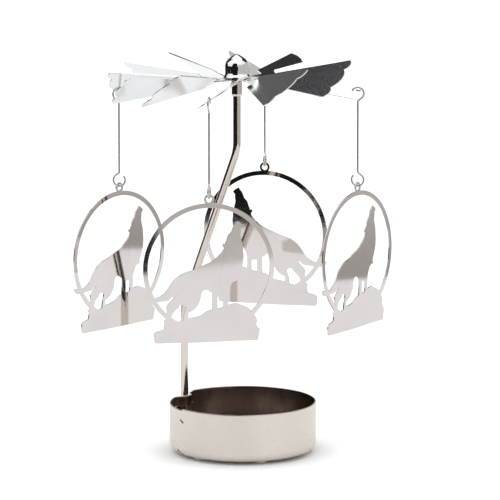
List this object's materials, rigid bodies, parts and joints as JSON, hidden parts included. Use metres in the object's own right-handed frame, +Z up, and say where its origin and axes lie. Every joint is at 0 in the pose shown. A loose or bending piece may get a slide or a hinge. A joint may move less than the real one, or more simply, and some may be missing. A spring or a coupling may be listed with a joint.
{
  "type": "candle carousel",
  "caption": "Metal tealight carousel: a bladed wheel balanced on a needle turns in the candle's warm air and carries hanging wolf medallions round a bent stem.",
  "frame": {"origin": "middle of the cup's inner floor, where the tealight stands", "axes": "+Z up along the cup's axis, +X to the right and +Y away from the viewer as in the picture"},
  "size_m": [0.1314, 0.11, 0.1667],
  "materials": {
    "satin_steel": "satin",
    "chrome": "mirror polished",
    "needle_steel": "satin",
    "brass": "satin"
  },
  "bodies": {
    "cup": {"candle_cup": "satin_steel"},
    "stem": {"stem": "chrome", "needle_holder": "chrome", "needle": "needle_steel"},
    "bearing": {"bearing_cup": "brass"},
    "rotor": {"rotor_wheel": "chrome", "dome_cap": "chrome"},
    "hook_front": {"hook_front": "chrome"},
    "medallion_front": {"medallion_front": "chrome"},
    "hook_right": {"hook_right": "chrome"},
    "medallion_right": {"medallion_right": "chrome"},
    "hook_back": {"hook_back": "chrome"},
    "medallion_back": {"medallion_back": "chrome"},
    "hook_left": {"hook_left": "chrome"},
    "medallion_left": {"medallion_left": "chrome"}
  },
  "joints": [
    {"name": "stem_lift", "type": "slide", "parent": "cup", "child": "stem", "axis": [0, 0, 1], "range_m": [0, 0.018]},
    {"name": "rotor_lift", "type": "slide", "parent": "stem", "child": "bearing", "axis": [0, 0, 1], "range_m": [0, 0.012]},
    {"name": "rotor_spin", "type": "hinge", "parent": "bearing", "child": "rotor", "pos_m": [-0.0024, 0.0014, 0.1593], "axis": [0, 0, 1], "continuous": true},
    {"name": "hook_front_swing", "type": "hinge", "parent": "rotor", "child": "hook_front", "pos_m": [-0.01346, -0.04829, 0.15116], "axis": [-0.9848, 0.1736, 0], "range_deg": [-8, 25]},
    {"name": "medallion_front_swing", "type": "hinge", "parent": "hook_front", "child": "medallion_front", "pos_m": [-0.01346, -0.04829, 0.11286], "axis": [0.165, -0.9863, 0], "range_deg": [-30, 30]},
    {"name": "hook_right_swing", "type": "hinge", "parent": "rotor", "child": "hook_right", "pos_m": [0.04708, -0.01033, 0.14987], "axis": [-0.2079, -0.9781, 0], "range_deg": [-8, 25]},
    {"name": "medallion_right_swing", "type": "hinge", "parent": "hook_right", "child": "medallion_right", "pos_m": [0.04708, -0.01033, 0.11157], "axis": [0.8387, -0.5446, 0], "range_deg": [-30, 30]},
    {"name": "hook_back_swing", "type": "hinge", "parent": "rotor", "child": "hook_back", "pos_m": [0.00921, 0.05034, 0.14837], "axis": [0.9848, -0.1736, 0], "range_deg": [-8, 25]},
    {"name": "medallion_back_swing", "type": "hinge", "parent": "hook_back", "child": "medallion_back", "pos_m": [0.00921, 0.05034, 0.11007], "axis": [0.2419, 0.9703, 0], "range_deg": [-30, 30]},
    {"name": "hook_left_swing", "type": "hinge", "parent": "rotor", "child": "hook_left", "pos_m": [-0.0511, 0.01228, 0.14601], "axis": [0.2079, 0.9781, 0], "range_deg": [-8, 25]},
    {"name": "medallion_left_swing", "type": "hinge", "parent": "hook_left", "child": "medallion_left", "pos_m": [-0.0511, 0.01228, 0.10771], "axis": [-0.7314, 0.682, 0], "range_deg": [-30, 30]}
  ]
}
